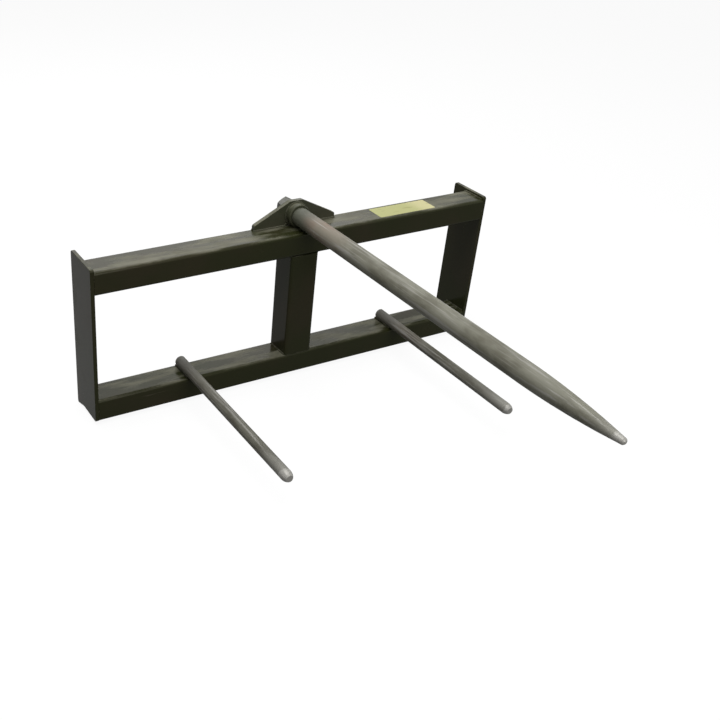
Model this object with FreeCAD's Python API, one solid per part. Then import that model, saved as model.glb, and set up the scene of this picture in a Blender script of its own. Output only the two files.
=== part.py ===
import FreeCAD, Part
import math
import os

# Bale spear: a welded frame that a skid-steer loader carries on its quick coupler, with one long
# spear through a tapered sleeve on the top rail and two short stabiliser spears on the bottom rail.
#
# Millimetres. +X runs along the frame, +Y points from the spears to the loader, +Z is up. The
# origin is the middle of the coupler face: the plane of the rear faces of rails and upright, half
# way up the frame, on the centre line.

Vec = FreeCAD.Vector
X_AXIS = Vec(1, 0, 0)
Y_AXIS = Vec(0, 1, 0)
Z_AXIS = Vec(0, 0, 1)

# ---- frame of rectangular tube ----
FRAME_WIDTH = 1155.0            # over the outer faces of the end plates
FRAME_HEIGHT = 405.0            # underside of the bottom rail to the top of the top rail
TUBE_DEPTH = 80.0               # rails and upright, front to back
RAIL_HEIGHT = 60.0
UPRIGHT_WIDTH = 80.0
TUBE_WALL = 5.0
TUBE_CORNER = 8.0               # outside corner radius of the tubes

# ---- end plates ----
END_PLATE_THICKNESS = 10.0
END_PLATE_REACH = 44.0          # behind the coupler face
END_PLATE_RISE = 8.0            # above the top rail
END_PLATE_DROP = 12.0           # below the bottom rail, at the rear edge
END_PLATE_CORNER = 6.0
PLATE_EDGE = 1.0                # chamfer on the long edges of the cut plates

# ---- hitch lip and latch plates, between the end plates ----
LIP_THICKNESS = 10.0
LIP_REACH = 36.0                # behind the coupler face
LIP_ANGLE = 45.0                # below the horizontal
LATCH_THICKNESS = 10.0
LATCH_WIDTH = 180.0             # along the frame, from the end plate inwards
LATCH_REACH = 44.0              # behind the coupler face
LATCH_SLOT_INSET = 92.5         # slot centre from the end plate's inner face
LATCH_SLOT_LENGTH = 50.0
LATCH_SLOT_WIDTH = 24.0

# ---- bracket of the main spear, and the sleeve welded through it ----
BRACKET_FOOT_WIDTH = 238.0
BRACKET_END_HEIGHT = 13.0       # the upright ends of the foot
BRACKET_CREST_WIDTH = 36.0
BRACKET_WEB = 5.0               # left over the sleeve, at the crest
BRACKET_THICKNESS = 12.0
BRACKET_CORNER = 6.0
BRACKET_SETBACK = 6.0           # its rear face in front of the coupler face
SLEEVE_DIAMETER = 58.0
SLEEVE_REACH = 20.0             # in front of the bracket; the other end is at the coupler face
SLEEVE_CHAMFER = 1.5

# ---- main spear ----
SPEAR_DIAMETER = 47.0
SPEAR_REACH = 1034.0            # front of the frame to the tip
SPEAR_POINT_LENGTH = 262.0      # the long curved taper
SPEAR_NOSE_DIAMETER = 14.5      # where the rounded nose begins
SPEAR_NOSE_LENGTH = 5.0
TAPER_MOUTH_DIAMETER = 45.0     # the seat's wide end, at the sleeve's mouth
TAPER_SEAT_DIAMETER = 38.0      # its narrow end, at the washer
COLLAR_LENGTH = 7.0             # from the seat's wide end out to the full shaft
THREAD_DIAMETER = 30.0
THREAD_RELIEF_DIAMETER = 26.0
THREAD_RELIEF_LENGTH = 8.0
THREAD_STICKOUT = 8.0           # past the nut
THREAD_CHAMFER = 2.5

# ---- washer and nut ----
WASHER_DIAMETER = 56.0
WASHER_THICKNESS = 6.0
NUT_FLATS = 46.0
NUT_HEIGHT = 30.0
NUT_CHAMFER_ANGLE = 30.0

# ---- stabiliser spears ----
STABILISER_DIAMETER = 28.5
STABILISER_SPACING = 630.0      # centre to centre
STABILISER_REACH = 482.0        # front of the frame to the tip
STABILISER_SETBACK = 10.0       # the rear end, in front of the coupler face
STABILISER_POINT_LENGTH = 16.0
STABILISER_POINT_DIAMETER = 17.0
STABILISER_REAR_CHAMFER = 1.5

# ---- clearances ----
WELD_GAP = 0.3                  # under a round piece that is welded down along its length
TAPER_GAP = 0.25                # radial, between the spear's seat and the sleeve
TAPER_DRAW = 1.5                # left between the seat's narrow end and the washer
BOLT_GAP = 0.75                 # radial, thread to washer
THREAD_GAP = 0.2                # radial, thread to nut

# ---- places worked out from the sizes ----
TOP = FRAME_HEIGHT / 2
BOTTOM = -FRAME_HEIGHT / 2
FRONT = -TUBE_DEPTH
INNER_HALF_WIDTH = FRAME_WIDTH / 2 - END_PLATE_THICKNESS
SPEAR_Z = TOP + SLEEVE_DIAMETER / 2 + WELD_GAP
BRACKET_FRONT = -BRACKET_SETBACK - BRACKET_THICKNESS
NOTCH_RADIUS = SLEEVE_DIAMETER / 2 + WELD_GAP
CREST = SPEAR_Z + NOTCH_RADIUS + BRACKET_WEB
SLEEVE_MOUTH = BRACKET_FRONT - SLEEVE_REACH
NUT_SEAT = WASHER_THICKNESS
NUT_REAR = NUT_SEAT + NUT_HEIGHT
THREAD_END = NUT_REAR + THREAD_STICKOUT
STABILISER_Z = BOTTOM + RAIL_HEIGHT + STABILISER_DIAMETER / 2 + WELD_GAP


def closed_outline(corners, radii):
    """Wire through the corners in turn, each rounded by its own radius; 0 leaves it sharp."""
    count = len(corners)
    bends = []
    for index, corner in enumerate(corners):
        back = (corners[index - 1] - corner).normalize()
        ahead = (corners[(index + 1) % count] - corner).normalize()
        half_angle = back.getAngle(ahead) / 2
        radius = radii[index]
        setback = radius / math.tan(half_angle)
        inwards = (back + ahead).normalize()
        crown = corner + inwards * (radius / math.sin(half_angle) - radius)
        bends.append((corner + back * setback, crown, corner + ahead * setback))
    edges = []
    for index, (start, crown, end) in enumerate(bends):
        if radii[index] > 0:
            edges.append(Part.Arc(start, crown, end).toShape())
        edges.append(Part.LineSegment(end, bends[(index + 1) % count][0]).toShape())
    return Part.Wire(edges)


def plate(corners, radii, thickness_vector):
    """Flat plate: the rounded outline swept along the thickness vector."""
    return Part.Face(closed_outline(corners, radii)).extrude(thickness_vector)


def chamfered_rims(solid, axis, size):
    """The plate with both rims of its outline chamfered; axis is the plate's normal."""
    rims = []
    for edge in solid.Edges:
        tangent = edge.tangentAt(edge.FirstParameter)
        if abs(tangent.dot(axis)) < 0.5:
            rims.append(edge)
    return solid.makeChamfer(size, rims)


def tube(section_centre, side_a, side_b, length_vector):
    """Rectangular hollow section: side_a and side_b are half sides, as vectors from the centre."""

    def section(inset, radius):
        half_a = side_a * (1 - inset / side_a.Length)
        half_b = side_b * (1 - inset / side_b.Length)
        corners = [section_centre + half_a + half_b,
                   section_centre - half_a + half_b,
                   section_centre - half_a - half_b,
                   section_centre + half_a - half_b]
        return plate(corners, [radius] * len(corners), length_vector)

    bore_corner = max(TUBE_CORNER - TUBE_WALL, TUBE_WALL / 4)
    return section(0, TUBE_CORNER).cut(section(TUBE_WALL, bore_corner))


def turned(edges, axis_point):
    """Solid turned about a line along Y through axis_point, from edges in the plane X = 0."""
    return Part.Face(Part.Wire(edges)).revolve(axis_point, Y_AXIS, 360)


def straight_edges(points):
    """Line edges from each point to the next."""
    return [Part.LineSegment(a, b).toShape() for a, b in zip(points, points[1:])]


def ring(outer_radius, bore_radius, start_y, length, axis_z):
    """Plain ring round an axis along Y."""
    start = Vec(0, start_y, axis_z)
    outer = Part.makeCylinder(outer_radius, length, start, Y_AXIS)
    return outer.cut(Part.makeCylinder(bore_radius, length, start, Y_AXIS))


def rail(bottom_z):
    """One rail between the end plates, its underside at bottom_z."""
    centre = Vec(-INNER_HALF_WIDTH, FRONT / 2, bottom_z + RAIL_HEIGHT / 2)
    return tube(centre, Y_AXIS * (TUBE_DEPTH / 2), Z_AXIS * (RAIL_HEIGHT / 2),
                X_AXIS * (2 * INNER_HALF_WIDTH))


def centre_upright():
    """Square tube from rail to rail on the centre line."""
    foot = BOTTOM + RAIL_HEIGHT
    height = FRAME_HEIGHT - 2 * RAIL_HEIGHT
    return tube(Vec(0, FRONT / 2, foot), X_AXIS * (UPRIGHT_WIDTH / 2), Y_AXIS * (TUBE_DEPTH / 2),
                Z_AXIS * height)


def end_plate(inner_x, outwards):
    """Side plate that closes the rails; its rear edge reaches back round the loader's coupler."""
    corners = [Vec(inner_x, FRONT, BOTTOM),
               Vec(inner_x, 0, BOTTOM),
               Vec(inner_x, END_PLATE_REACH, BOTTOM - END_PLATE_DROP),
               Vec(inner_x, END_PLATE_REACH, TOP + END_PLATE_RISE),
               Vec(inner_x, FRONT, TOP + END_PLATE_RISE)]
    radii = [END_PLATE_CORNER, 0, END_PLATE_CORNER, END_PLATE_CORNER, END_PLATE_CORNER]
    blank = plate(corners, radii, X_AXIS * (outwards * END_PLATE_THICKNESS))
    return chamfered_rims(blank, X_AXIS, PLATE_EDGE)


def hitch_lip():
    """Flat bar that leans back and down from the top rail; the loader's coupler hooks under it."""
    angle = math.radians(LIP_ANGLE)
    root = Vec(-INNER_HALF_WIDTH, 0, TOP - TUBE_CORNER)
    edge = root + Vec(0, LIP_REACH, -LIP_REACH * math.tan(angle))
    inwards = Vec(0, -math.sin(angle), -math.cos(angle)) * LIP_THICKNESS
    corners = [root, edge, edge + inwards, root - Z_AXIS * (LIP_THICKNESS / math.cos(angle))]
    return plate(corners, [0, PLATE_EDGE, PLATE_EDGE, 0], X_AXIS * (2 * INNER_HALF_WIDTH))


def latch_plate(side):
    """Slotted plate at the foot of one end plate, parallel to that plate's lower edge."""
    slope = END_PLATE_DROP / END_PLATE_REACH
    outer_x = side * INNER_HALF_WIDTH
    root = Vec(outer_x, 0, BOTTOM + TUBE_CORNER)
    rear = root + Vec(0, LATCH_REACH, -LATCH_REACH * slope)
    rise = Z_AXIS * (LATCH_THICKNESS * math.hypot(1, slope))
    blank = plate([root, rear, rear + rise, root + rise], [0, PLATE_EDGE, PLATE_EDGE, 0],
                  X_AXIS * (-side * LATCH_WIDTH))
    return blank.cut(latch_slot(outer_x - side * LATCH_SLOT_INSET, rear.z, root.z + rise.z))


def latch_slot(centre_x, low_z, high_z):
    """Upright cutter for one latch pin's slot, past both faces of the sloping plate."""
    end_radius = LATCH_SLOT_WIDTH / 2
    half_straight = LATCH_SLOT_LENGTH / 2 - end_radius
    centre = Vec(centre_x, LATCH_REACH / 2, low_z - LATCH_THICKNESS)
    along = X_AXIS * half_straight
    across = Y_AXIS * end_radius
    end_cap = X_AXIS * (half_straight + end_radius)
    edges = [Part.LineSegment(centre - along - across, centre + along - across).toShape(),
             Part.Arc(centre + along - across, centre + end_cap, centre + along + across).toShape(),
             Part.LineSegment(centre + along + across, centre - along + across).toShape(),
             Part.Arc(centre - along + across, centre - end_cap, centre - along - across).toShape()]
    height = high_z - low_z + 2 * LATCH_THICKNESS
    return Part.Face(Part.Wire(edges)).extrude(Z_AXIS * height)


def spear_bracket():
    """Plate that stands on the top rail and slopes to its crest; the sleeve sits in its notch."""
    foot = BRACKET_FOOT_WIDTH / 2
    crest = BRACKET_CREST_WIDTH / 2
    corners = [Vec(-foot, BRACKET_FRONT, TOP),
               Vec(foot, BRACKET_FRONT, TOP),
               Vec(foot, BRACKET_FRONT, TOP + BRACKET_END_HEIGHT),
               Vec(crest, BRACKET_FRONT, CREST),
               Vec(-crest, BRACKET_FRONT, CREST),
               Vec(-foot, BRACKET_FRONT, TOP + BRACKET_END_HEIGHT)]
    radii = [0, 0] + [BRACKET_CORNER] * 4
    return plate(corners, radii, Y_AXIS * BRACKET_THICKNESS).cut(sleeve_notch())


def sleeve_notch():
    """Cutter for the round-topped notch, through the bracket and open to the rail."""
    axis = Vec(0, BRACKET_FRONT, SPEAR_Z)
    across = X_AXIS * NOTCH_RADIUS
    drop = Z_AXIS * (SPEAR_Z - TOP)
    edges = straight_edges([axis + across, axis + across - drop, axis - across - drop, axis - across])
    edges.append(Part.Arc(axis - across, axis + Z_AXIS * NOTCH_RADIUS, axis + across).toShape())
    return Part.Face(Part.Wire(edges)).extrude(Y_AXIS * BRACKET_THICKNESS)


def main_sleeve():
    """Sleeve with a tapered bore, welded to the rail and to both faces of the bracket."""
    outer = SLEEVE_DIAMETER / 2
    wide = TAPER_MOUTH_DIAMETER / 2 + TAPER_GAP
    narrow = TAPER_SEAT_DIAMETER / 2 + TAPER_GAP
    profile = [(wide, SLEEVE_MOUTH),
               (outer - SLEEVE_CHAMFER, SLEEVE_MOUTH),
               (outer, SLEEVE_MOUTH + SLEEVE_CHAMFER),
               (outer, 0),
               (narrow, 0),
               (wide, SLEEVE_MOUTH)]
    points = [Vec(0, y, SPEAR_Z + radius) for radius, y in profile]
    return turned(straight_edges(points), Vec(0, 0, SPEAR_Z))


def main_spear():
    """Forged spear: thread, relief groove, tapered seat, collar, shaft and long curved point."""
    tip = FRONT - SPEAR_REACH
    nose = tip + SPEAR_NOSE_LENGTH
    point_start = tip + SPEAR_POINT_LENGTH
    shaft = SPEAR_DIAMETER / 2
    thread = THREAD_DIAMETER / 2
    relief = THREAD_RELIEF_DIAMETER / 2
    seat = TAPER_SEAT_DIAMETER / 2
    nose_radius = SPEAR_NOSE_DIAMETER / 2
    seat_end = -TAPER_DRAW
    relief_end = seat_end + THREAD_RELIEF_LENGTH
    profile = [(0, THREAD_END),
               (thread - THREAD_CHAMFER, THREAD_END),
               (thread, THREAD_END - THREAD_CHAMFER),
               (thread, relief_end + (thread - relief)),
               (relief, relief_end),
               (relief, seat_end),
               (seat, seat_end),
               (TAPER_MOUTH_DIAMETER / 2, SLEEVE_MOUTH),
               (shaft, SLEEVE_MOUTH - COLLAR_LENGTH),
               (shaft, point_start)]
    points = [Vec(0, y, SPEAR_Z + radius) for radius, y in profile]
    edges = straight_edges(points)

    half_way = (point_start + nose) / 2
    half_way_radius = shaft - (shaft - nose_radius) / 4    # a shallow arc, level where it leaves the shaft
    nose_edge = Vec(0, nose, SPEAR_Z + nose_radius)
    edges.append(Part.Arc(points[-1], Vec(0, half_way, SPEAR_Z + half_way_radius), nose_edge).toShape())

    half_angle = math.atan2(SPEAR_NOSE_LENGTH, nose_radius)    # the nose is a cap of a sphere
    sphere = nose_radius / math.sin(2 * half_angle)
    crown = Vec(0, tip + sphere * (1 - math.cos(half_angle)), SPEAR_Z + sphere * math.sin(half_angle))
    tip_point = Vec(0, tip, SPEAR_Z)
    edges.append(Part.Arc(nose_edge, crown, tip_point).toShape())
    edges.append(Part.LineSegment(tip_point, points[0]).toShape())
    return turned(edges, Vec(0, 0, SPEAR_Z))


def main_spear_washer():
    """Plain washer against the rear end of the sleeve."""
    return ring(WASHER_DIAMETER / 2, THREAD_DIAMETER / 2 + BOLT_GAP, 0, WASHER_THICKNESS, SPEAR_Z)


def main_spear_nut():
    """Hexagon nut with two flats upright, its corners turned off at both faces."""
    corner_radius = NUT_FLATS / 2 / math.cos(math.radians(30))
    hexagon = []
    for step in range(6):
        angle = math.radians(60 * step + 30)
        hexagon.append(Vec(corner_radius * math.cos(angle), NUT_SEAT,
                           SPEAR_Z + corner_radius * math.sin(angle)))
    blank = plate(hexagon, [0] * len(hexagon), Y_AXIS * NUT_HEIGHT)
    flat = NUT_FLATS / 2
    run = (corner_radius - flat) * math.tan(math.radians(NUT_CHAMFER_ANGLE))
    profile = [(0, NUT_SEAT),
               (flat, NUT_SEAT),
               (corner_radius, NUT_SEAT + run),
               (corner_radius, NUT_REAR - run),
               (flat, NUT_REAR),
               (0, NUT_REAR),
               (0, NUT_SEAT)]
    points = [Vec(0, y, SPEAR_Z + radius) for radius, y in profile]
    turned_blank = turned(straight_edges(points), Vec(0, 0, SPEAR_Z))
    bore = Part.makeCylinder(THREAD_DIAMETER / 2 + THREAD_GAP, NUT_HEIGHT,
                             Vec(0, NUT_SEAT, SPEAR_Z), Y_AXIS)
    return blank.common(turned_blank).cut(bore)


def stabiliser_spear(centre_x):
    """Round bar that lies across the bottom rail, with a short blunt point."""
    radius = STABILISER_DIAMETER / 2
    point_radius = STABILISER_POINT_DIAMETER / 2
    tip = FRONT - STABILISER_REACH
    rear = -STABILISER_SETBACK
    profile = [(0, rear),
               (radius - STABILISER_REAR_CHAMFER, rear),
               (radius, rear - STABILISER_REAR_CHAMFER),
               (radius, tip + STABILISER_POINT_LENGTH)]
    points = [Vec(0, y, STABILISER_Z + distance) for distance, y in profile]
    edges = straight_edges(points)
    rim = Vec(0, tip, STABILISER_Z + point_radius)
    half_way = Vec(0, tip + STABILISER_POINT_LENGTH / 2,
                   STABILISER_Z + radius - (radius - point_radius) / 4)
    edges.append(Part.Arc(points[-1], half_way, rim).toShape())
    centre = Vec(0, tip, STABILISER_Z)
    edges.append(Part.LineSegment(rim, centre).toShape())
    edges.append(Part.LineSegment(centre, points[0]).toShape())
    bar = turned(edges, Vec(0, 0, STABILISER_Z))
    bar.translate(X_AXIS * centre_x)
    return bar


NODES = {
    "top_rail": rail(TOP - RAIL_HEIGHT),
    "bottom_rail": rail(BOTTOM),
    "centre_upright": centre_upright(),
    "left_end_plate": end_plate(-INNER_HALF_WIDTH, -1),
    "right_end_plate": end_plate(INNER_HALF_WIDTH, 1),
    "hitch_lip": hitch_lip(),
    "left_latch_plate": latch_plate(-1),
    "right_latch_plate": latch_plate(1),
    "spear_bracket": spear_bracket(),
    "main_sleeve": main_sleeve(),
    "main_spear": main_spear(),
    "main_spear_washer": main_spear_washer(),
    "main_spear_nut": main_spear_nut(),
    "left_stabiliser_spear": stabiliser_spear(-STABILISER_SPACING / 2),
    "right_stabiliser_spear": stabiliser_spear(STABILISER_SPACING / 2),
}

os.makedirs("parts", exist_ok=True)
for name, shape in NODES.items():
    shape.exportStep("parts/" + name + ".step")
    print(name, "valid" if shape.isValid() else "NOT VALID", "solids", len(shape.Solids),
          "volume", round(shape.Volume))
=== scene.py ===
"""Bale spear: paint, steel, weld beads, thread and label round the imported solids, in a plain studio.

Every length is in metres, in the part's own frame: +X runs along the welded frame, +Y points from the
spears to the loader and +Z is up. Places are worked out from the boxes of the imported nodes.
"""
import logging
import math
from dataclasses import dataclass
from enum import Enum
from typing import Iterable, Sequence

import bmesh
import bpy
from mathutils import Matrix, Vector


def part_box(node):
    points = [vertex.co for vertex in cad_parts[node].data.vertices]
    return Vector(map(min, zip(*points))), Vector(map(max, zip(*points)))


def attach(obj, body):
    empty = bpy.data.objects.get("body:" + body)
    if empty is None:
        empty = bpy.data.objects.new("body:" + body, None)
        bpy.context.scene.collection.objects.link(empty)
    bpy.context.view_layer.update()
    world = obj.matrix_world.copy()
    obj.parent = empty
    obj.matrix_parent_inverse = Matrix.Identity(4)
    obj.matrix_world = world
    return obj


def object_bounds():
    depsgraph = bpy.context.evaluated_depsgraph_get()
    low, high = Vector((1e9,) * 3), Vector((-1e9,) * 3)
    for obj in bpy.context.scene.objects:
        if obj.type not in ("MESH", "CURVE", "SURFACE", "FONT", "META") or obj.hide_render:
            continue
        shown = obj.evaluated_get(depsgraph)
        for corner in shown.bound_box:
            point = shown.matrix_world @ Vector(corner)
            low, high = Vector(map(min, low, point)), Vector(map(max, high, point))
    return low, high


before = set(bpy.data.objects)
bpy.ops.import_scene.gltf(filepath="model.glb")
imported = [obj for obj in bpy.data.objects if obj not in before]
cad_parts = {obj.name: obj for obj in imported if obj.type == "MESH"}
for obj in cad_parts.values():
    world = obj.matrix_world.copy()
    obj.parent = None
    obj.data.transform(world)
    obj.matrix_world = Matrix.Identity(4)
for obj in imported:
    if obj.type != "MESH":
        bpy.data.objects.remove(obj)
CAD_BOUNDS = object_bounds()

LOG = logging.getLogger("bale_spear")
BODY = "root"
MILLIMETRE = 0.001

Colour = tuple[float, float, float, float]
Path = list[Vector]


class Side(Enum):
    """The two ends of the frame, by the sign of X."""

    LEFT = -1
    RIGHT = 1

    def node(self, piece: str) -> str:
        """Name of this side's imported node."""
        return f"{self.name.lower()}_{piece}"


class Slot(Enum):
    """Material slots of the record."""

    PAINT = "frame_paint"
    SPEAR = "spear_steel"


class Run(Enum):
    """How a weld runs along its seam."""

    CONTINUOUS = "continuous"
    STITCHED = "stitched"


# --------------------------------------------------------------------------------------------------
# Node trees
# --------------------------------------------------------------------------------------------------

class NodeGraph:
    """Adds and wires the nodes of one shader or geometry tree."""

    def __init__(self, tree: bpy.types.NodeTree) -> None:
        """Wraps a tree.

        Args:
            tree: the shader or geometry node tree to fill.
        """
        self.tree = tree

    def add(self, kind: str, inputs: dict | None = None, **settings: object) -> bpy.types.Node:
        """Adds a node.

        Args:
            kind: the node's type name.
            inputs: input name or index to a value, or to the output socket that feeds it.
            settings: the node's own properties.

        Returns:
            The new node.
        """
        node = self.tree.nodes.new(kind)
        for name, value in settings.items():
            setattr(node, name, value)
        for key, value in (inputs or {}).items():
            if isinstance(value, bpy.types.NodeSocket):
                self.tree.links.new(value, node.inputs[key])
            else:
                node.inputs[key].default_value = value
        return node

    def position(self, stretch: Sequence[float] = (1.0, 1.0, 1.0)) -> bpy.types.NodeSocket:
        """Object coordinates, each axis multiplied by its stretch.

        Args:
            stretch: factor along X, Y and Z; a small one draws a pattern out along that axis.

        Returns:
            The vector socket.
        """
        place = self.add("ShaderNodeTexCoord").outputs["Object"]
        return self.add("ShaderNodeMapping", {"Vector": place, "Scale": stretch}).outputs["Vector"]

    def noise(self, scale: float, detail: float = 4.0,
              stretch: Sequence[float] = (1.0, 1.0, 1.0)) -> bpy.types.NodeSocket:
        """Noise in the object's own coordinates.

        Args:
            scale: lumps to a metre, about.
            detail: octaves.
            stretch: see position.

        Returns:
            The noise value, 0 to 1.
        """
        inputs = {"Vector": self.position(stretch), "Scale": scale, "Detail": detail}
        return self.add("ShaderNodeTexNoise", inputs).outputs["Fac"]

    def ramp(self, value: bpy.types.NodeSocket, start: float, end: float, low: float = 0.0,
             high: float = 1.0) -> bpy.types.NodeSocket:
        """Smooth step of a value.

        Args:
            value: what to map.
            start: value that gives low.
            end: value that gives high.
            low: result at start.
            high: result at end.

        Returns:
            The mapped value, kept between low and high.
        """
        inputs = {"Value": value, "From Min": start, "From Max": end, "To Min": low, "To Max": high}
        node = self.add("ShaderNodeMapRange", inputs, interpolation_type="SMOOTHSTEP")
        return node.outputs["Result"]

    def maths(self, operation: str, *values: object) -> bpy.types.NodeSocket:
        """Math node.

        Args:
            operation: the node's operation.
            values: its inputs in order.

        Returns:
            The result.
        """
        inputs = dict(enumerate(values))
        return self.add("ShaderNodeMath", inputs, operation=operation).outputs["Value"]

    def blend(self, share: object, first: object, second: object) -> bpy.types.NodeSocket:
        """Mix of two colours.

        Args:
            share: share of the second colour.
            first: colour, or socket.
            second: colour, or socket.

        Returns:
            The mixed colour.
        """
        inputs = {0: share, 6: first, 7: second}
        return self.add("ShaderNodeMix", inputs, data_type="RGBA").outputs[2]

    def edge_mask(self, radius: float) -> bpy.types.NodeSocket:
        """1 on outer and inner edges, 0 on flats.

        Args:
            radius: how far the edge reaches.

        Returns:
            The mask.
        """
        rounded = self.add("ShaderNodeBevel", {"Radius": radius}, samples=6).outputs["Normal"]
        true_normal = self.add("ShaderNodeNewGeometry").outputs["Normal"]
        alike = self.add("ShaderNodeVectorMath", {0: rounded, 1: true_normal},
                         operation="DOT_PRODUCT").outputs["Value"]
        return self.ramp(alike, 0.995, 0.90)

    def facing_up(self) -> bpy.types.NodeSocket:
        """1 on level faces that look up, 0 on walls and undersides.

        Returns:
            The mask.
        """
        normal = self.add("ShaderNodeNewGeometry").outputs["Normal"]
        height = self.add("ShaderNodeSeparateXYZ", {0: normal}).outputs["Z"]
        return self.ramp(height, 0.5, 0.95)

    def coordinate(self, axis: str) -> bpy.types.NodeSocket:
        """One object coordinate.

        Args:
            axis: X, Y or Z.

        Returns:
            The coordinate.
        """
        return self.add("ShaderNodeSeparateXYZ", {0: self.position()}).outputs[axis]


def surface_material(name: str) -> tuple[bpy.types.Material, NodeGraph, bpy.types.Node]:
    """Empty node material with a Principled shader on its output.

    Args:
        name: the material's name.

    Returns:
        The material, its graph and its Principled node.
    """
    material = bpy.data.materials.new(name)
    material.use_nodes = True
    material.node_tree.nodes.clear()
    graph = NodeGraph(material.node_tree)
    shader = graph.add("ShaderNodeBsdfPrincipled")
    graph.add("ShaderNodeOutputMaterial", {"Surface": shader.outputs["BSDF"]})
    return material, graph, shader


def wire(graph: NodeGraph, shader: bpy.types.Node, **sockets: object) -> None:
    """Feeds a Principled shader's linked inputs.

    Args:
        graph: the shader's graph.
        shader: the Principled node.
        sockets: input names, with underscores for spaces, to the outputs that feed them.
    """
    for name, source in sockets.items():
        graph.tree.links.new(source, shader.inputs[name.replace("_", " ").title()])


# --------------------------------------------------------------------------------------------------
# Finishes
# --------------------------------------------------------------------------------------------------

@dataclass(frozen=True)
class FramePaint:
    """Olive-black coat on welded steel, with orange peel, pale streaks on top that are partly dust and
    partly painted sheen, and rubbed edges.
    """

    name: str = "frame_paint"
    colour: Colour = (0.028, 0.031, 0.011, 1)
    cloud_colour: Colour = (0.037, 0.032, 0.016, 1)
    dust_and_sheen_colour: Colour = (0.190, 0.185, 0.135, 1)
    bare_colour: Colour = (0.10, 0.085, 0.065, 1)
    gloss_roughness: float = 0.17
    dull_roughness: float = 0.42
    specular: float = 0.15
    specular_tint: Colour = (1.0, 0.98, 0.84, 1)
    peel_scale: float = 420.0
    peel_depth: float = 0.10
    relief_height: float = 0.6 * MILLIMETRE
    rubbed_edge: float = 1.6 * MILLIMETRE

    def build(self) -> bpy.types.Material:
        """Builds the finish.

        Returns:
            The finished material.
        """
        material, graph, shader = surface_material(self.name)
        clouds = graph.ramp(graph.noise(5.0, 5.0), 0.40, 0.68)
        coat = graph.blend(clouds, self.colour, self.cloud_colour)

        # Pale streaks on up-facing faces: partly settled dust, partly a painted sheen standing in for the
        # gloss reflecting the bright sky above.
        top_streaks = graph.ramp(graph.noise(26.0, 7.0, (0.35, 1.5, 1.0)), 0.40, 0.66, 0.0, 0.80)
        dust_and_sheen = graph.maths("MULTIPLY", graph.facing_up(), top_streaks)
        dusty_and_sheened = graph.blend(dust_and_sheen, coat, self.dust_and_sheen_colour)

        nicks = graph.ramp(graph.noise(90.0, 5.0), 0.50, 0.62)
        rubbed = graph.maths("MULTIPLY", graph.edge_mask(self.rubbed_edge), nicks)
        scratch_noise = graph.noise(60.0, 3.0, (0.12, 1.6, 1.9))
        scratches = graph.ramp(scratch_noise, 0.70, 0.76, 0.0, 0.30)
        wear = graph.maths("MAXIMUM", rubbed, scratches)
        colour = graph.blend(wear, dusty_and_sheened, self.bare_colour)

        smears = graph.ramp(graph.noise(14.0, 6.0), 0.45, 0.75, self.gloss_roughness,
                            0.5 * (self.gloss_roughness + self.dull_roughness))
        dulled = graph.maths("MAXIMUM", wear, dust_and_sheen)
        roughness = graph.ramp(dulled, 0.0, 0.6, 0.0, self.dull_roughness - self.gloss_roughness)
        total = graph.maths("ADD", smears, roughness)

        peel = graph.noise(self.peel_scale, 2.0)
        chips = graph.maths("MULTIPLY", wear, -0.6)
        relief = graph.maths("ADD", peel, chips)
        bump = graph.add("ShaderNodeBump", {"Height": relief, "Strength": self.peel_depth,
                                            "Distance": self.relief_height})
        shader.inputs["Specular IOR Level"].default_value = self.specular
        shader.inputs["Specular Tint"].default_value = self.specular_tint
        wire(graph, shader, base_color=colour, roughness=total, normal=bump.outputs["Normal"])
        return material


# A lighter copy of the frame paint, for the bracket, the sleeve and their welds.
LIGHTER_BRACKET_PAINT = FramePaint("lighter_bracket_paint", colour=(0.062, 0.066, 0.040, 1),
                           cloud_colour=(0.085, 0.080, 0.055, 1))


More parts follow.
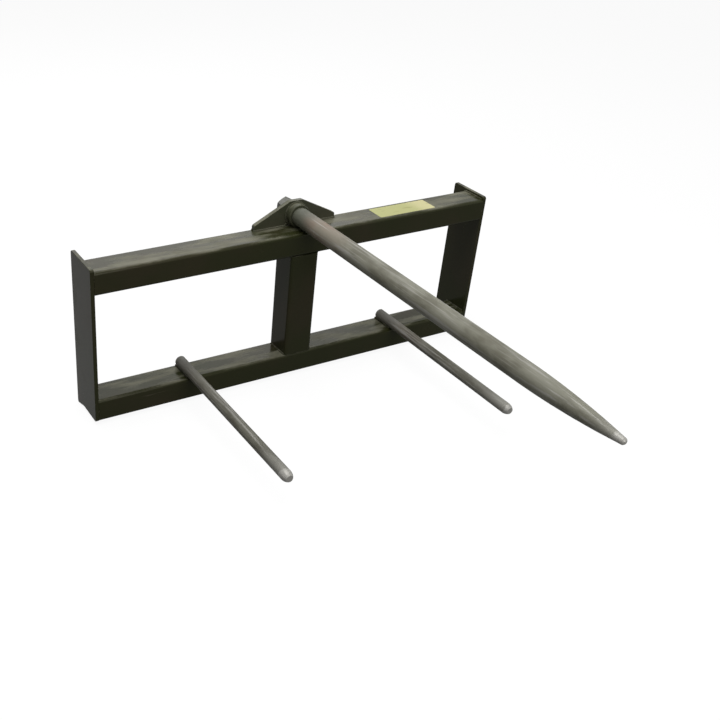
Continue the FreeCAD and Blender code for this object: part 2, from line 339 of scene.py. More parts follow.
@dataclass(frozen=True)
class SpearSteel:
    """Forged round steel under a thin grey coat: mill scale, rust blush, a darker band towards the root,
    bare tip.
    """

    name: str
    tip_y: float
    bare_length: float
    thread_y: float
    root_y: float
    fade_length: float
    coat_colour: Colour = (0.240, 0.236, 0.187, 1)
    scale_colour: Colour = (0.155, 0.150, 0.112, 1)
    blush_colour: Colour = (0.255, 0.172, 0.130, 1)
    root_colour: Colour = (0.100, 0.104, 0.078, 1)
    blush_share: float = 0.80
    pale_length: float = 0.10
    bare_colour: Colour = (0.42, 0.41, 0.38, 1)
    thread_colour: Colour = (0.16, 0.155, 0.13, 1)
    coat_roughness: float = 0.50
    bare_roughness: float = 0.38
    specular: float = 0.22
    relief_height: float = 0.5 * MILLIMETRE

    def build(self) -> bpy.types.Material:
        """Builds the finish.

        Returns:
            The finished material.
        """
        material, graph, shader = surface_material(self.name)
        scale = graph.ramp(graph.noise(34.0, 8.0, (1.0, 0.35, 1.0)), 0.44, 0.66)
        coat = graph.blend(scale, self.coat_colour, self.scale_colour)
        depth = graph.coordinate("Y")
        near_root = graph.ramp(depth, self.root_y - 4.0 * self.fade_length, self.root_y)
        blotches = graph.ramp(graph.noise(14.0, 5.0, (1.0, 0.4, 1.0)), 0.42, 0.62, 0.25, 1.0)
        blush = graph.maths("MULTIPLY", graph.maths("MULTIPLY", blotches, near_root), self.blush_share)
        blushed = graph.blend(blush, coat, self.blush_colour)
        # painted: share of root_colour, a darker band towards the root with a ragged edge.
        ragged_root = graph.noise(30.0, 5.0, (1.0, 0.4, 1.0))
        wander = graph.maths("MULTIPLY_ADD", ragged_root, self.fade_length, depth)
        painted = graph.ramp(wander, self.root_y - 0.5 * self.fade_length, self.root_y + self.fade_length)

        drag_noise = graph.noise(190.0, 3.0, (1.0, 0.03, 1.0))
        drags = graph.ramp(drag_noise, 0.50, 0.70, 0.0, 0.55)
        paling = graph.ramp(depth, self.tip_y + self.pale_length, self.tip_y, 0.0, 0.45)
        ragged = graph.maths("MULTIPLY_ADD", graph.noise(45.0, 6.0), self.bare_length,
                             self.tip_y + 0.5 * self.bare_length)
        past_tip = graph.maths("SUBTRACT", ragged, depth)
        tip = graph.ramp(past_tip, 0.0, 0.35 * self.bare_length, 0.0, 0.9)
        bare = graph.maths("MAXIMUM", graph.maths("MAXIMUM", tip, paling), drags)
        rubbed = graph.blend(bare, blushed, self.bare_colour)
        rooted = graph.blend(painted, rubbed, self.root_colour)
        machined = graph.ramp(depth, self.thread_y, self.thread_y + MILLIMETRE)
        colour = graph.blend(machined, rooted, self.thread_colour)

        rings = graph.noise(120.0, 2.0, (0.05, 6.0, 0.05))
        pits = graph.ramp(graph.noise(150.0, 4.0), 0.30, 0.45)
        drawn = graph.maths("MULTIPLY", drag_noise, 0.5)
        relief = graph.maths("ADD", graph.maths("ADD", rings, pits), drawn)
        bump = graph.add("ShaderNodeBump", {"Height": relief, "Strength": 0.22,
                                            "Distance": self.relief_height})
        cloudy = graph.ramp(graph.noise(26.0, 6.0), 0.35, 0.70, self.coat_roughness - 0.06,
                            self.coat_roughness + 0.10)
        polish = graph.maths("MULTIPLY", bare, self.bare_roughness - self.coat_roughness)
        roughness = graph.maths("ADD", cloudy, polish)
        metal = graph.ramp(graph.maths("MAXIMUM", bare, machined), 0.0, 1.0, 0.0, 0.25)
        shader.inputs["Specular IOR Level"].default_value = self.specular
        wire(graph, shader, base_color=colour, roughness=roughness, metallic=metal,
             normal=bump.outputs["Normal"])
        return material


@dataclass(frozen=True)
class ZincPlate:
    """Weathered zinc on the washer and nut, with pale bloom and darker handling marks."""

    name: str = "fastener_zinc"
    colour: Colour = (0.13, 0.13, 0.115, 1)
    bloom_colour: Colour = (0.20, 0.20, 0.18, 1)
    grime_colour: Colour = (0.05, 0.047, 0.036, 1)
    specular: float = 0.30
    relief_height: float = 0.3 * MILLIMETRE

    def build(self) -> bpy.types.Material:
        """Builds the finish.

        Returns:
            The finished material.
        """
        material, graph, shader = surface_material(self.name)
        bloom = graph.ramp(graph.noise(140.0, 6.0), 0.48, 0.70, 0.0, 0.7)
        plated = graph.blend(bloom, self.colour, self.bloom_colour)
        grime = graph.ramp(graph.noise(60.0, 5.0), 0.52, 0.70, 0.0, 0.6)
        colour = graph.blend(grime, plated, self.grime_colour)
        roughness = graph.ramp(graph.noise(180.0, 4.0), 0.3, 0.7, 0.30, 0.52)
        bump = graph.add("ShaderNodeBump", {"Height": graph.noise(500.0, 3.0), "Strength": 0.12,
                                            "Distance": self.relief_height})
        metal = graph.ramp(grime, 0.0, 0.6, 0.30, 0.05)
        shader.inputs["Specular IOR Level"].default_value = self.specular
        wire(graph, shader, base_color=colour, roughness=roughness, metallic=metal,
             normal=bump.outputs["Normal"])
        return material


@dataclass(frozen=True)
class LabelVinyl:
    """Blank pale yellow vinyl, faded towards one end, with grubby scuffs."""

    name: str
    low: Vector
    high: Vector
    colour: Colour = (0.47, 0.475, 0.185, 1)
    faded_colour: Colour = (0.64, 0.60, 0.30, 1)
    grime_colour: Colour = (0.20, 0.16, 0.08, 1)
    specular: float = 0.20
    fade_start: float = 0.55
    relief_height: float = 0.2 * MILLIMETRE

    def build(self) -> bpy.types.Material:
        """Builds the finish.

        Returns:
            The finished material.
        """
        material, graph, shader = surface_material(self.name)
        along = graph.coordinate("X")
        fade_x = self.low.x + self.fade_start * (self.high.x - self.low.x)
        fade = graph.ramp(along, fade_x, self.high.x)
        patchy = graph.maths("MULTIPLY_ADD", graph.noise(28.0, 4.0), 0.5, fade)
        vinyl = graph.blend(graph.ramp(patchy, 0.15, 1.1), self.colour, self.faded_colour)
        scuffs = graph.ramp(graph.noise(75.0, 5.0, (0.3, 1.4, 1.0)), 0.60, 0.72, 0.0, 0.5)
        colour = graph.blend(scuffs, vinyl, self.grime_colour)
        roughness = graph.ramp(scuffs, 0.0, 0.5, 0.38, 0.62)
        bump = graph.add("ShaderNodeBump", {"Height": graph.noise(300.0, 3.0), "Strength": 0.08,
                                            "Distance": self.relief_height})
        shader.inputs["Specular IOR Level"].default_value = self.specular
        wire(graph, shader, base_color=colour, roughness=roughness, normal=bump.outputs["Normal"])
        return material


def dress(node: str, material: bpy.types.Material) -> None:
    """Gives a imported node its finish.

    Args:
        node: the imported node's name.
        material: the finish.
    """
    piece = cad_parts[node]
    piece.data.materials.clear()
    piece.data.materials.append(material)
    LOG.info("%s: dressed in %s", node, material.name)


def mount_piece(piece: bpy.types.Object) -> None:
    """Lets a piece of the scene ride with the object.

    Args:
        piece: the finished piece.
    """
    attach(piece, BODY)
    LOG.info("%s: %d faces", piece.name, len(piece.data.polygons))


# --------------------------------------------------------------------------------------------------
# Geometry Nodes
# --------------------------------------------------------------------------------------------------

class GeometryTree(NodeGraph):
    """Geometry node group with named inputs, run on a piece and turned into a plain mesh."""

    def __init__(self, name: str) -> None:
        """Starts a group.

        Args:
            name: the group's name.
        """
        super().__init__(bpy.data.node_groups.new(name, "GeometryNodeTree"))
        self.values: dict[str, object] = {}
        self.tree.interface.new_socket("Geometry", in_out="INPUT", socket_type="NodeSocketGeometry")
        self.tree.interface.new_socket("Geometry", in_out="OUTPUT", socket_type="NodeSocketGeometry")
        self.entry = self.tree.nodes.new("NodeGroupInput")

    def size(self, name: str, value: object, kind: str = "NodeSocketFloat") -> bpy.types.NodeSocket:
        """Adds a named input.

        Args:
            name: the input's name.
            value: what the modifier sets it to.
            kind: the socket's type.

        Returns:
            The socket that carries it inside the group.
        """
        item = self.tree.interface.new_socket(name, in_out="INPUT", socket_type=kind)
        self.values[item.identifier] = value
        return self.entry.outputs[name]

    def close(self, geometry: bpy.types.NodeSocket, material: bpy.types.Material) -> None:
        """Ends the group: real faces, smooth shading and one material.

        Args:
            geometry: what the group has made.
            material: the finish of every face.
        """
        real = self.add("GeometryNodeRealizeInstances", {"Geometry": geometry}).outputs["Geometry"]
        smooth = self.add("GeometryNodeSetShadeSmooth", {"Geometry": real}).outputs["Geometry"]
        painted = self.add("GeometryNodeSetMaterial", {"Geometry": smooth, "Material": material})
        out = self.tree.nodes.new("NodeGroupOutput")
        self.tree.links.new(painted.outputs["Geometry"], out.inputs["Geometry"])

    def grow(self, name: str, seed_mesh: bpy.types.Mesh) -> bpy.types.Object:
        """Runs the group once.

        Args:
            name: the finished piece's name.
            seed_mesh: the geometry that goes in.

        Returns:
            A plain mesh object at the origin, with no modifier.
        """
        carrier = bpy.data.objects.new(f"{name}_carrier", seed_mesh)
        bpy.context.scene.collection.objects.link(carrier)
        modifier = carrier.modifiers.new("grow", "NODES")
        modifier.node_group = self.tree
        for identifier, value in self.values.items():
            modifier[identifier] = value
        graph = bpy.context.evaluated_depsgraph_get()
        mesh = bpy.data.meshes.new_from_object(carrier.evaluated_get(graph), depsgraph=graph)
        bpy.data.objects.remove(carrier)
        mesh.name = name
        piece = bpy.data.objects.new(name, mesh)
        bpy.context.scene.collection.objects.link(piece)
        return piece


@dataclass(frozen=True)
class Seam:
    """One weld: the line where two pieces meet."""

    path: Path
    closed: bool = False


@dataclass(frozen=True)
class WeldBead:
    """Hand-laid bead: overlapping ripples along each seam."""

    radius: float = 3.6 * MILLIMETRE
    ripple_pitch: float = 2.6 * MILLIMETRE
    ripple_length: float = 0.62
    lean: float = math.radians(28)
    unevenness: float = 0.16
    seed: int = 11
    ripple_segments: int = 10
    ripple_rings: int = 6

    def lay(self, name: str, seams: Iterable[Seam], material: bpy.types.Material) -> bpy.types.Object:
        """Lays every seam as one piece.

        Args:
            name: the piece's name.
            seams: where the welds run.
            material: the finish.

        Returns:
            The beads as a plain mesh.
        """
        tree = GeometryTree(name)
        radius = tree.size("Bead radius", self.radius)
        pitch = tree.size("Ripple pitch", self.ripple_pitch)
        unevenness = tree.size("Unevenness", self.unevenness)
        seed = tree.size("Seed", self.seed, "NodeSocketInt")

        curve = tree.add("GeometryNodeMeshToCurve", {"Mesh": tree.entry.outputs["Geometry"]})
        points = tree.add("GeometryNodeResampleCurve",
                          {"Curve": curve.outputs["Curve"], "Length": pitch}, mode="LENGTH")
        ripple = tree.add("GeometryNodeMeshUVSphere",
                          {"Segments": self.ripple_segments, "Rings": self.ripple_rings,
                           "Radius": radius})
        flat = tree.add("GeometryNodeTransform", {"Geometry": ripple.outputs["Mesh"],
                                                  "Scale": (1.0, 1.0, self.ripple_length)})
        tangent = tree.add("GeometryNodeInputTangent").outputs["Tangent"]
        along = tree.add("FunctionNodeAlignRotationToVector", {"Vector": tangent}, axis="Z")
        leaning = tree.add("FunctionNodeRotateRotation",
                           {"Rotation": along.outputs["Rotation"], "Rotate By": (self.lean, 0.0, 0.0)},
                           rotation_space="LOCAL")
        least = tree.add("ShaderNodeMath", {0: 1.0, 1: unevenness}, operation="SUBTRACT").outputs["Value"]
        scale = tree.add("FunctionNodeRandomValue", {"Min": least, "Max": 1.0, "Seed": seed},
                         data_type="FLOAT")
        beads = tree.add("GeometryNodeInstanceOnPoints",
                         {"Points": points.outputs["Curve"], "Instance": flat.outputs["Geometry"],
                          "Rotation": leaning.outputs["Rotation"]})
        tree.tree.links.new(first_float_output(scale), beads.inputs["Scale"])
        tree.close(beads.outputs["Instances"], material)
        return tree.grow(name, seam_mesh(name, seams))


def first_float_output(node: bpy.types.Node) -> bpy.types.NodeSocket:
    """The active number output of a node that has one for each data type.

    Args:
        node: the node.

    Returns:
        Its output in use.
    """
    for output in node.outputs:
        if output.enabled:
            return output
    return node.outputs[0]


def seam_mesh(name: str, seams: Iterable[Seam]) -> bpy.types.Mesh:
    """Loose edges along every seam.

    Args:
        name: the mesh's name.
        seams: the seams.

    Returns:
        A mesh of edges only.
    """
    vertices: list[Vector] = []
    edges: list[tuple[int, int]] = []
    for seam in seams:
        first = len(vertices)
        vertices.extend(seam.path)
        last = len(vertices) - 1
        edges.extend((index, index + 1) for index in range(first, last))
        if seam.closed:
            edges.append((last, first))
    mesh = bpy.data.meshes.new(f"{name}_seams")
    mesh.from_pydata(vertices, edges, [])
    return mesh


def stitches(start: Vector, end: Vector, run: Run, length: float = 0.05, gap: float = 0.11) -> list[Seam]:
    """Straight seam, whole or in stitches.

    Args:
        start: one end.
        end: the other end.
        run: how the weld runs.
        length: length of a stitch.
        gap: bare length between stitches, at least.

    Returns:
        The seams.
    """
    if run is Run.CONTINUOUS:
        return [Seam([start, end])]
    whole = (end - start).length
    direction = (end - start).normalized()
    count = max(2, math.floor((whole + gap) / (length + gap)))
    step = (whole - length) / (count - 1)
    seams = []
    for index in range(count):
        begin = start + direction * (index * step)
        seams.append(Seam([begin, begin + direction * length]))
    return seams


def arc_path(centre: Vector, radius: float, start: float, end: float, steps: int = 48) -> Path:
    """Points on an arc in a plane across Y.

    Args:
        centre: the arc's centre.
        radius: its radius.
        start: first angle, from +X towards +Z.
        end: last angle.
        steps: runs between points.

    Returns:
        The points.
    """
    points = []
    for step in range(steps + 1):
        angle = start + (end - start) * step / steps
        points.append(centre + Vector((math.cos(angle), 0.0, math.sin(angle))) * radius)
    return points


# --------------------------------------------------------------------------------------------------
# Sub-assemblies
# --------------------------------------------------------------------------------------------------

@dataclass
class TubeFrame:
    """Rails, upright and end plates, with the welds between them."""

    corner: float = 8.0 * MILLIMETRE
    corner_cut: float = 0.3
    bead: WeldBead = WeldBead()

    def rail_seams(self, rail: str) -> list[Seam]:
        """Fillets round one rail at both end plates, on top, behind and below.

        Args:
            rail: the rail's node.

        Returns:
            One seam at each end.
        """
        low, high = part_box(rail)
        cut = self.corner_cut * self.corner
        seams = []
        for x in (low.x, high.x):
            path = [Vector((x, low.y + self.corner, high.z)),
                    Vector((x, high.y - self.corner, high.z)),
                    Vector((x, high.y - cut, high.z - cut)),
                    Vector((x, high.y, high.z - self.corner)),
                    Vector((x, high.y, low.z + self.corner)),
                    Vector((x, high.y - cut, low.z + cut)),
                    Vector((x, high.y - self.corner, low.z)),
                    Vector((x, low.y + self.corner, low.z))]
            seams.append(Seam(path))
        return seams

    def upright_seams(self) -> list[Seam]:
        """Fillets on both sides of the upright, at both rails.

        Returns:
            The seams.
        """
        low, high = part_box("centre_upright")
        seams = []
        for x in (low.x, high.x):
            for z in (low.z, high.z):
                front = Vector((x, low.y + self.corner, z))
                rear = Vector((x, high.y - self.corner, z))
                seams.extend(stitches(front, rear, Run.CONTINUOUS))
        return seams

    def build(self, paint: bpy.types.Material) -> None:
        """Dresses the nodes and lays the welds.

        Args:
            paint: the frame's finish.
        """
        for node in ("top_rail", "bottom_rail", "centre_upright", Side.LEFT.node("end_plate"),
                     Side.RIGHT.node("end_plate")):
            dress(node, paint)
        seams = self.rail_seams("top_rail") + self.rail_seams("bottom_rail") + self.upright_seams()
        mount_piece(self.bead.lay("frame_welds", seams, paint))


@dataclass
class HitchSide:
    """Sloping lip and slotted latch plates behind the rails, with their welds."""

    bead: WeldBead = WeldBead(radius=3.2 * MILLIMETRE, seed=23)
    tube_corner: float = 8.0 * MILLIMETRE

    def lip_seams(self) -> list[Seam]:
        """Stitches along the lip's root and fillets down both of its ends.

        Returns:
            The seams.
        """
        low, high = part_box("hitch_lip")
        seams = stitches(Vector((low.x, 0.0, high.z)), Vector((high.x, 0.0, high.z)), Run.STITCHED)
        for x in (low.x, high.x):
            reach = high.y - self.bead.radius
            seams.append(Seam([Vector((x, 0.0, high.z)), Vector((x, reach, high.z - reach))]))
        return seams

    def latch_seams(self, side: Side) -> list[Seam]:
        """Fillet along the root and down the outer end of one latch plate.

        Args:
            side: which plate.

        Returns:
            The seam, alone in its list.
        """
        low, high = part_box(side.node("latch_plate"))
        outer_x = low.x if side is Side.LEFT else high.x
        inner_x = high.x if side is Side.LEFT else low.x
        rail_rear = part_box("bottom_rail")[1].y
        slope_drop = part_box("bottom_rail")[0].z + self.tube_corner - low.z
        reach = high.y - self.bead.radius
        dropped = high.z - slope_drop * reach / high.y
        return [Seam([Vector((inner_x, rail_rear, high.z)), Vector((outer_x, rail_rear, high.z)),
                      Vector((outer_x, reach, dropped))])]

    def build(self, paint: bpy.types.Material) -> None:
        """Dresses the nodes and lays the welds.

        Args:
            paint: the frame's finish.
        """
        dress("hitch_lip", paint)
        seams = self.lip_seams()
        for side in Side:
            dress(side.node("latch_plate"), paint)
            seams.extend(self.latch_seams(side))
        mount_piece(self.bead.lay("hitch_welds", seams, paint))


@dataclass
class SpearMount:
    """Bracket, sleeve, main spear, washer and nut, with their welds and the spear's thread."""

    bead: WeldBead = WeldBead(radius=3.8 * MILLIMETRE, ripple_pitch=2.4 * MILLIMETRE, seed=31)
    thread_radius: float = 15.0 * MILLIMETRE
    thread_pitch: float = 3.5 * MILLIMETRE
    thread_depth: float = 0.45 * MILLIMETRE
    thread_end_margin: float = 3.0 * MILLIMETRE
    bare_tip_length: float = 0.03
    # Length of the darker band towards the main spear's root.
    dark_root_length: float = 0.055
    foot_height: float = 0.5
    rear_inset: float = 2.0
    corner_passes: tuple[tuple[float, float], ...] = ((0.90, 0.10), (0.90, 0.34), (0.68, 0.12))

    def bracket_seams(self) -> list[Seam]:
        """Fillets along both feet of the bracket, in front and behind.

        Returns:
            The seams.
        """
        low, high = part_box("spear_bracket")
        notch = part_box("main_sleeve")[1].x
        seams = []
        for y in (low.y, high.y):
            for start, end in ((low.x, -notch), (notch, high.x)):
                seams.append(Seam([Vector((start, y, low.z)), Vector((end, y, low.z))]))
        return seams

    def sleeve_seams(self) -> list[Seam]:
        """Fillets under the sleeve and round it, and passes that fill the notch's lower corners.

        Returns:
            The seams.
        """
        low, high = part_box("main_sleeve")
        bracket_low, bracket_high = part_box("spear_bracket")
        radius = 0.5 * (high.x - low.x)
        axis_z = 0.5 * (low.z + high.z)
        foot = low.z + self.foot_height * self.bead.radius
        dip = math.asin((axis_z - foot) / radius)
        seams = []
        for y in (bracket_low.y, bracket_high.y):
            centre = Vector((0.0, y, axis_z))
            seams.append(Seam(arc_path(centre, radius, -dip, math.pi + dip)))
        x = radius * math.cos(dip)
        for sign in (-1, 1):
            start = Vector((sign * x, low.y + self.bead.radius, foot))
            end = Vector((sign * x, high.y - self.rear_inset * self.bead.radius, foot))
            seams.append(Seam([start, end]))
            for across, up in self.corner_passes:
                corner = Vector((sign * across * radius, bracket_low.y, foot + up * radius))
                seams.append(Seam([corner, Vector((corner.x, bracket_high.y, corner.z))]))
        return seams

    def thread(self, material: bpy.types.Material) -> bpy.types.Object:
        """Thread ridge on the spear's end behind the nut.

        Args:
            material: the spear's finish.

        Returns:
            The ridge as a plain mesh.
        """
        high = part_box("main_spear")[1]
        nut_low, nut_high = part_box("main_spear_nut")
        nut_rear = nut_high.y
        axis_z = 0.5 * (nut_low.z + nut_high.z)
        length = high.y - self.thread_end_margin - nut_rear
        tree = GeometryTree("spear_thread")
        pitch = tree.size("Pitch", self.thread_pitch)
        depth = tree.size("Depth", self.thread_depth)
        height = tree.size("Threaded length", length)
        turns = tree.add("ShaderNodeMath", {0: height, 1: pitch}, operation="DIVIDE").outputs["Value"]
        spiral = tree.add("GeometryNodeCurveSpiral", {"Resolution": 64, "Rotations": turns,
                                                      "Start Radius": self.thread_radius,
                                                      "End Radius": self.thread_radius,
                                                      "Height": height})
        section = tree.add("GeometryNodeCurvePrimitiveCircle", {"Resolution": 6, "Radius": depth},
                           mode="RADIUS")
        ridge = tree.add("GeometryNodeCurveToMesh", {"Curve": spiral.outputs["Curve"],
                                                     "Profile Curve": section.outputs["Curve"],
                                                     "Fill Caps": True})
        placed = tree.add("GeometryNodeTransform", {"Geometry": ridge.outputs["Mesh"],
                                                    "Rotation": (-0.5 * math.pi, 0.0, 0.0),
                                                    "Translation": (0.0, nut_rear, axis_z)})
        tree.close(placed.outputs["Geometry"], material)
        return tree.grow("spear_thread", bpy.data.meshes.new("spear_thread_seed"))

    def build(self, lighter_bracket_paint: bpy.types.Material, zinc: bpy.types.Material) -> None:
        """Dresses the nodes, lays the welds and cuts the thread.

        Args:
            lighter_bracket_paint: the finish of bracket, sleeve and their welds.
            zinc: the fasteners' finish.
        """
        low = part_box("main_spear")[0]
        thread_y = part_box("main_spear_washer")[0].y
        root_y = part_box("main_sleeve")[0].y - self.dark_root_length
        steel = SpearSteel("main_spear_steel", low.y, self.bare_tip_length, thread_y, root_y,
                           self.dark_root_length).build()
        for node in ("spear_bracket", "main_sleeve"):
            dress(node, lighter_bracket_paint)
        for node in ("main_spear_washer", "main_spear_nut"):
            dress(node, zinc)
        dress("main_spear", steel)
        seams = self.bracket_seams() + self.sleeve_seams()
        mount_piece(self.bead.lay("bracket_welds", seams, lighter_bracket_paint))
        mount_piece(self.thread(steel))


@dataclass
class Stabilisers:
    """The two short spears and the welds that hold them down on the bottom rail."""

    bead: WeldBead = WeldBead(radius=3.4 * MILLIMETRE, seed=47)
    bare_lengths: tuple[float, float] = (0.030, 0.014)
    fade_length: float = 0.05
    weld_inset: float = 6.0 * MILLIMETRE
    weld_spread: float = 0.68
    foot_height: float = 0.5
    blush_share: float = 0.15
    pale_length: float = 0.16
    coat_colour: Colour = (0.150, 0.147, 0.118, 1)
    scale_colour: Colour = (0.090, 0.086, 0.064, 1)
    root_colour: Colour = (0.130, 0.125, 0.105, 1)

    def seams(self, side: Side) -> list[Seam]:
        """Fillets under both sides of one bar, across the rail.

        Args:
            side: which bar.

        Returns:
            The seams.
        """
        low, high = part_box(side.node("stabiliser_spear"))
        rail_low, rail_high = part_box("bottom_rail")
        radius = 0.5 * (high.x - low.x)
        middle = 0.5 * (low.x + high.x)
        foot = rail_high.z + self.foot_height * self.bead.radius
        seams = []
        for sign in (-1, 1):
            x = middle + sign * self.weld_spread * radius
            seams.append(Seam([Vector((x, rail_low.y + self.weld_inset, foot)),
                               Vector((x, rail_high.y - self.weld_inset, foot))]))
        return seams

    def build(self, paint: bpy.types.Material) -> None:
        """Dresses the bars and lays the welds.

        Args:
            paint: the frame's finish.
        """
        seams = []
        for side, bare_length in zip(Side, self.bare_lengths):
            node = side.node("stabiliser_spear")
            low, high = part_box(node)
            rail_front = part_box("bottom_rail")[0].y
            steel = SpearSteel(f"{node}_steel", low.y, bare_length, high.y + MILLIMETRE, rail_front,
                               self.fade_length, self.coat_colour, self.scale_colour,
                               root_colour=self.root_colour, blush_share=self.blush_share,
                               pale_length=self.pale_length).build()
            dress(node, steel)
            seams.extend(self.seams(side))
        mount_piece(self.bead.lay("stabiliser_welds", seams, paint))


@dataclass
class RailLabel:
    """Blank vinyl label on top of the top rail, right of the spear."""

    start_x: float = 0.232
    length: float = 0.178
    width: float = 0.058
    front_margin: float = 0.010
    corner: float = 4.0 * MILLIMETRE
    thickness: float = 0.25 * MILLIMETRE
    glue_gap: float = 0.02 * MILLIMETRE
    corner_steps: int = 6

    def outline(self, low: Vector, high: Vector) -> Path:
        """Rounded rectangle at the label's underside.

        Args:
            low: lowest corner.
            high: highest corner.

        Returns:
            The points, anticlockwise from above.
        """
        points = []
        quarter = 0.5 * math.pi
        left, right = low.x + self.corner, high.x - self.corner
        front, rear = low.y + self.corner, high.y - self.corner
        centres = [(right, rear), (left, rear), (left, front), (right, front)]
        for turn, (x, y) in enumerate(centres):
            for step in range(self.corner_steps + 1):
                angle = quarter * (turn + step / self.corner_steps)
                points.append(Vector((x + self.corner * math.cos(angle),
                                      y + self.corner * math.sin(angle), low.z)))
        return points

    def build(self) -> None:
        """Builds and dresses the label."""
        rail_low, rail_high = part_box("top_rail")
        low = Vector((self.start_x, rail_low.y + self.front_margin, rail_high.z + self.glue_gap))
        high = low + Vector((self.length, self.width, self.thickness))
        mesh = bpy.data.meshes.new("rail_label")
        build = bmesh.new()
        face = build.faces.new([build.verts.new(point) for point in self.outline(low, high)])
        lifted = bmesh.ops.extrude_face_region(build, geom=[face])
        raised = [item for item in lifted["geom"] if isinstance(item, bmesh.types.BMVert)]
        bmesh.ops.translate(build, verts=raised, vec=(0.0, 0.0, self.thickness))
        bmesh.ops.recalc_face_normals(build, faces=build.faces)
        build.to_mesh(mesh)
        build.free()
        mesh.materials.append(LabelVinyl("label_vinyl", low, high).build())
        piece = bpy.data.objects.new("rail_label", mesh)
        bpy.context.scene.collection.objects.link(piece)
        mount_piece(piece)


# --------------------------------------------------------------------------------------------------
# Studio
# --------------------------------------------------------------------------------------------------

@dataclass(frozen=True)
class Softbox:
    """Square area lamp that looks at a target."""

    name: str
    azimuth: float
    elevation: float
    distance: float
    size: float
    radiance: float

    def build(self, target: Vector) -> None:
        """Hangs the lamp.

        Args:
            target: the point that it looks at.
        """
        azimuth = math.radians(self.azimuth)
        elevation = math.radians(self.elevation)
        direction = Vector((math.cos(elevation) * math.sin(azimuth),
                            math.cos(elevation) * math.cos(azimuth), math.sin(elevation)))
        lamp = bpy.data.lights.new(self.name, "AREA")
        lamp.shape = "SQUARE"
        lamp.size = self.size
        lamp.energy = self.radiance * math.pi * self.size ** 2
        holder = bpy.data.objects.new(self.name, lamp)
        holder.location = target + direction * self.distance
        holder.rotation_euler = direction.to_track_quat("Z", "Y").to_euler()
        holder.visible_camera = False
        bpy.context.scene.collection.objects.link(holder)


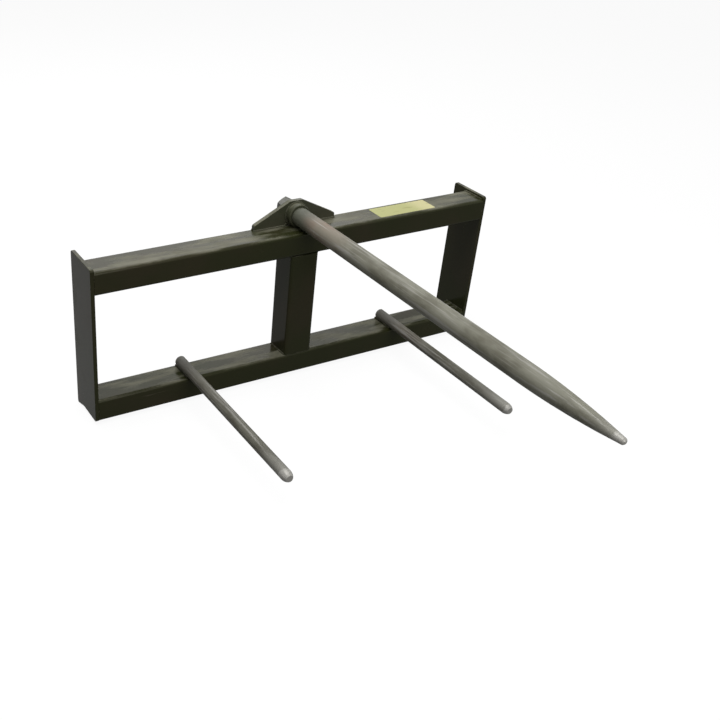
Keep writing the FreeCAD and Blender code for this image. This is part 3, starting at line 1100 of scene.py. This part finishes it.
@dataclass(frozen=True)
class Studio:
    """White floor and surroundings under soft overhead light.

    The floor glows at floor_glow towards the camera and at floor_mirrored towards shiny faces, so
    that the paint's reflections stay dark. It gives no light of its own to anything else.
    """

    floor_size: float = 60.0
    floor_glow: float = 0.93
    floor_mirrored: float = 0.30
    floor_albedo: float = 0.11
    sky_light: float = 0.14
    lamp_target: tuple[float, float, float] = (0.0, -0.3, 0.0)
    lamps: tuple[Softbox, ...] = (
        Softbox("overhead_panel", azimuth=290.0, elevation=79.0, distance=3.4, size=3.0, radiance=3.1),
        Softbox("rear_panel", azimuth=14.0, elevation=40.0, distance=3.6, size=3.0, radiance=1.05),
        Softbox("front_panel", azimuth=182.0, elevation=24.0, distance=3.8, size=2.2, radiance=2.8),
    )

    @staticmethod
    def seen_directly(graph: NodeGraph) -> bpy.types.NodeSocket:
        """1 for rays from the camera, a mirror or a window, 0 for rays that carry light.

        Args:
            graph: the graph that the nodes go into.

        Returns:
            The mask.
        """
        path = graph.add("ShaderNodeLightPath").outputs
        mirrored = graph.maths("MAXIMUM", path["Is Glossy Ray"], path["Is Transmission Ray"])
        return graph.maths("MAXIMUM", path["Is Camera Ray"], mirrored)

    def build_world(self) -> None:
        """Surroundings: white where they are seen, dim where they light the object."""
        world = bpy.data.worlds.new("studio_world")
        world.use_nodes = True
        world.node_tree.nodes.clear()
        graph = NodeGraph(world.node_tree)
        strength = graph.ramp(self.seen_directly(graph), 0.0, 1.0, self.sky_light, 1.0)
        glow = graph.add("ShaderNodeBackground", {"Color": (1, 1, 1, 1), "Strength": strength})
        graph.add("ShaderNodeOutputWorld", {"Surface": glow.outputs["Background"]})
        bpy.context.scene.world = world

    def build_floor(self, height: float) -> None:
        """Floor that looks white and still takes the object's shadow.

        Args:
            height: its level.
        """
        half = 0.5 * self.floor_size
        mesh = bpy.data.meshes.new("studio_floor")
        corners = [(-half, -half, height), (half, -half, height),
                   (half, half, height), (-half, half, height)]
        mesh.from_pydata(corners, [], [(0, 1, 2, 3)])
        material = bpy.data.materials.new("studio_floor")
        material.use_nodes = True
        material.node_tree.nodes.clear()
        graph = NodeGraph(material.node_tree)
        path = graph.add("ShaderNodeLightPath").outputs
        seen = graph.maths("MULTIPLY", path["Is Camera Ray"], self.floor_glow)
        mirrored = graph.maths("MULTIPLY", path["Is Glossy Ray"], self.floor_mirrored)
        glow = graph.maths("ADD", seen, mirrored)
        light = graph.add("ShaderNodeEmission", {"Color": (1, 1, 1, 1), "Strength": glow})
        albedo = (self.floor_albedo, self.floor_albedo, self.floor_albedo, 1)
        matt = graph.add("ShaderNodeBsdfDiffuse", {"Color": albedo})
        both = graph.add("ShaderNodeAddShader", {0: light.outputs[0], 1: matt.outputs[0]})
        graph.add("ShaderNodeOutputMaterial", {"Surface": both.outputs[0]})
        mesh.materials.append(material)
        floor = bpy.data.objects.new("studio_floor", mesh)
        bpy.context.scene.collection.objects.link(floor)

    def build(self) -> None:
        """Builds the surroundings, floor and lamps."""
        low, _ = CAD_BOUNDS
        self.build_world()
        self.build_floor(low[2])
        for lamp in self.lamps:
            lamp.build(Vector(self.lamp_target))
        bpy.context.scene.view_settings.view_transform = "Standard"
        LOG.info("studio: %d lamps", len(self.lamps))


@dataclass(frozen=True)
class Viewpoint:
    """Camera above and left of the spears' tips, looking down across the frame."""

    location: tuple[float, float, float] = (-1.2908, -2.0063, 1.2078)
    heading: float = 30.08
    dip: float = 31.74
    roll: float = 2.86
    lens: float = 49.99
    sensor: float = 36.0
    shift: tuple[float, float] = (0.1670, 0.0210)
    far_limit: float = 200.0

    def build(self) -> None:
        """Makes the scene's camera."""
        data = bpy.data.cameras.new("scene_camera")
        data.lens = self.lens
        data.sensor_width = self.sensor
        data.shift_x, data.shift_y = self.shift
        data.clip_end = self.far_limit
        camera = bpy.data.objects.new("scene_camera", data)
        heading = math.radians(self.heading)
        dip = math.radians(self.dip)
        forward = Vector((math.sin(heading) * math.cos(dip), math.cos(heading) * math.cos(dip),
                          -math.sin(dip)))
        level = Vector((math.cos(heading), -math.sin(heading), 0.0))
        upright = level.cross(forward)
        roll = math.radians(self.roll)
        right = level * math.cos(roll) + upright * math.sin(roll)
        up = upright * math.cos(roll) - level * math.sin(roll)
        matrix = camera.matrix_world
        for row in range(3):
            matrix[row][0], matrix[row][1], matrix[row][2] = right[row], up[row], -forward[row]
            matrix[row][3] = self.location[row]
        camera.matrix_world = matrix
        bpy.context.scene.collection.objects.link(camera)
        bpy.context.scene.camera = camera


def main() -> None:
    """Builds the finishes, every sub-assembly, the studio and the camera."""
    logging.basicConfig(level=logging.INFO, format="%(name)s %(message)s")
    paint = FramePaint().build()
    lighter_bracket_paint = LIGHTER_BRACKET_PAINT.build()
    zinc = ZincPlate().build()
    TubeFrame().build(paint)
    HitchSide().build(paint)
    SpearMount().build(lighter_bracket_paint, zinc)
    Stabilisers().build(paint)
    RailLabel().build()
    Studio().build()
    Viewpoint().build()


if __name__ == "__main__":
    main()
